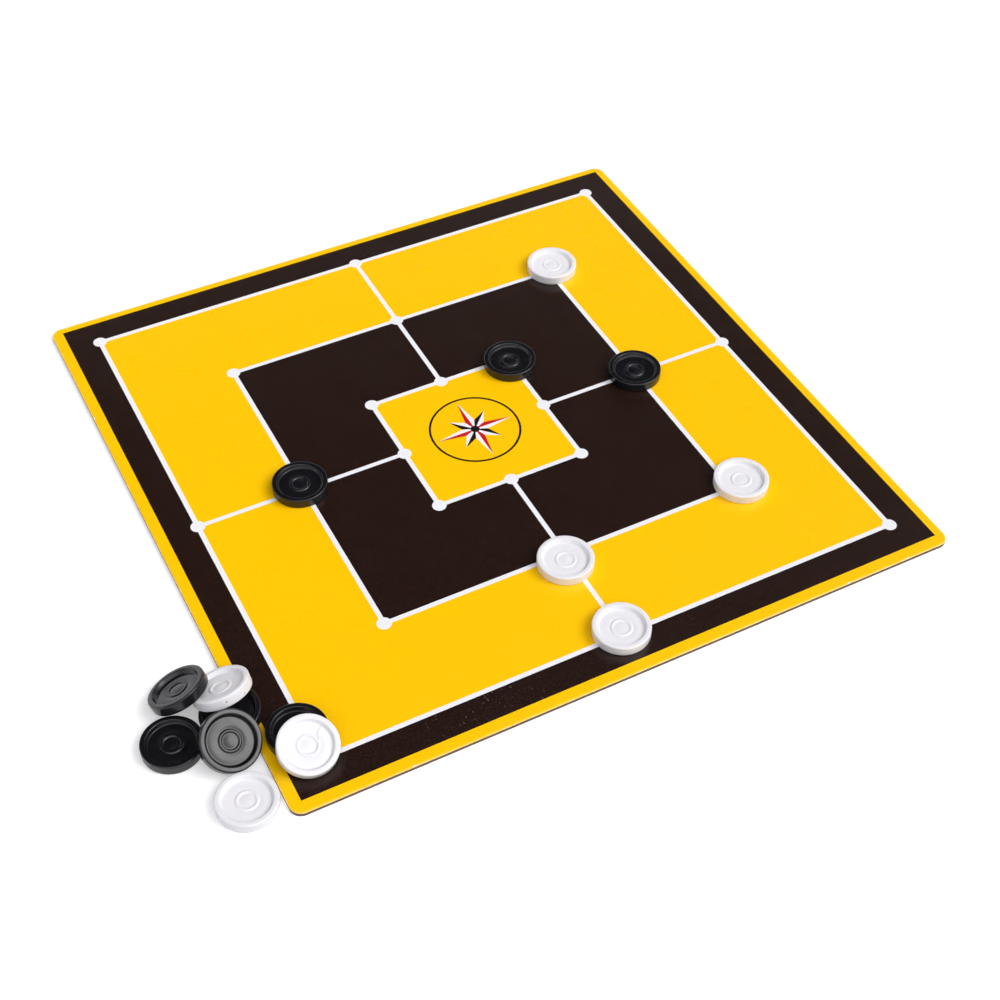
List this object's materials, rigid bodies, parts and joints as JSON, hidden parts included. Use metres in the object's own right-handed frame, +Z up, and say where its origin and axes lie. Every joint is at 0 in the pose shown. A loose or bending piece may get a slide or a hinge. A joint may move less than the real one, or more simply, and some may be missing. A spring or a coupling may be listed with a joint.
{
  "type": "morris game board with counters",
  "caption": "Square laminated game board printed with nested line squares and a star, with round rimmed black and white counters on it and in a small heap at one corner.",
  "frame": {"origin": "centre of the board's underside, on the table", "axes": "+X along the near edge of the board to the right, +Y away from the player, +Z up from the table"},
  "size_m": [0.4089, 0.36, 0.0206],
  "materials": {
    "greyboard": "matt",
    "backing_paper": "matt",
    "yellow_print": "satin",
    "dark_print": "satin",
    "white_print": "satin",
    "red_print": "satin",
    "black_plastic": "gloss",
    "white_plastic": "gloss"
  },
  "bodies": {
    "board": {"core_board": "greyboard", "backing_sheet": "backing_paper", "face_sheet": "yellow_print", "dark_fields": "dark_print", "white_lines": "white_print", "star_ring": "dark_print", "star_red": "red_print", "star_dark": "dark_print", "star_white": "white_print"},
    "black_counter_1": {"black_counter_1": "black_plastic"},
    "black_counter_2": {"black_counter_2": "black_plastic"},
    "black_counter_3": {"black_counter_3": "black_plastic"},
    "black_counter_4": {"black_counter_4": "black_plastic"},
    "black_counter_5": {"black_counter_5": "black_plastic"},
    "black_counter_6": {"black_counter_6": "black_plastic"},
    "black_counter_7": {"black_counter_7": "black_plastic"},
    "black_counter_8": {"black_counter_8": "black_plastic"},
    "white_counter_1": {"white_counter_1": "white_plastic"},
    "white_counter_2": {"white_counter_2": "white_plastic"},
    "white_counter_3": {"white_counter_3": "white_plastic"},
    "white_counter_4": {"white_counter_4": "white_plastic"},
    "white_counter_5": {"white_counter_5": "white_plastic"},
    "white_counter_6": {"white_counter_6": "white_plastic"},
    "white_counter_7": {"white_counter_7": "white_plastic"}
  },
  "joints": [
    {"name": "black_counter_1_lift", "type": "slide", "parent": "board", "child": "black_counter_1", "axis": [0, 0, 1], "range_m": [0, 0.04]},
    {"name": "black_counter_2_lift", "type": "slide", "parent": "board", "child": "black_counter_2", "axis": [0, 0, 1], "range_m": [0, 0.04]},
    {"name": "black_counter_3_lift", "type": "slide", "parent": "board", "child": "black_counter_3", "axis": [0, 0, 1], "range_m": [0, 0.04]},
    {"name": "black_counter_4_lift", "type": "slide", "parent": "board", "child": "black_counter_4", "axis": [0, 0, 1], "range_m": [0, 0.04]},
    {"name": "white_counter_1_lift", "type": "slide", "parent": "board", "child": "white_counter_1", "axis": [0, 0, 1], "range_m": [0, 0.04]},
    {"name": "white_counter_2_lift", "type": "slide", "parent": "board", "child": "white_counter_2", "axis": [0, 0, 1], "range_m": [0, 0.04]},
    {"name": "white_counter_3_lift", "type": "slide", "parent": "board", "child": "white_counter_3", "axis": [0, 0, 1], "range_m": [0, 0.04]},
    {"name": "white_counter_4_lift", "type": "slide", "parent": "board", "child": "white_counter_4", "axis": [0, 0, 1], "range_m": [0, 0.04]},
    {"name": "black_counter_6_lift", "type": "slide", "parent": "board", "child": "black_counter_6", "axis": [0, 0, 1], "range_m": [0, 0.04]},
    {"name": "white_counter_5_lift", "type": "slide", "parent": "black_counter_6", "child": "white_counter_5", "axis": [0, 0, 1], "range_m": [0, 0.04]},
    {"name": "black_counter_7_lift", "type": "slide", "parent": "black_counter_6", "child": "black_counter_7", "axis": [0, 0, 1], "range_m": [0, 0.04]},
    {"name": "black_counter_8_lift", "type": "slide", "parent": "white_counter_5", "child": "black_counter_8", "axis": [0, 0, 1], "range_m": [0, 0.04]},
    {"name": "black_counter_5_slide", "type": "slide", "parent": "board", "child": "black_counter_5", "axis": [-0.5996, -0.7695, 0.2199], "range_m": [0, 0.05]},
    {"name": "white_counter_6_slide", "type": "slide", "parent": "board", "child": "white_counter_6", "axis": [0, -0.6, 0.8], "range_m": [0, 0.05]},
    {"name": "white_counter_7_lift", "type": "slide", "parent": "black_counter_4", "child": "white_counter_7", "axis": [0, 0, 1], "range_m": [0, 0.04]}
  ]
}
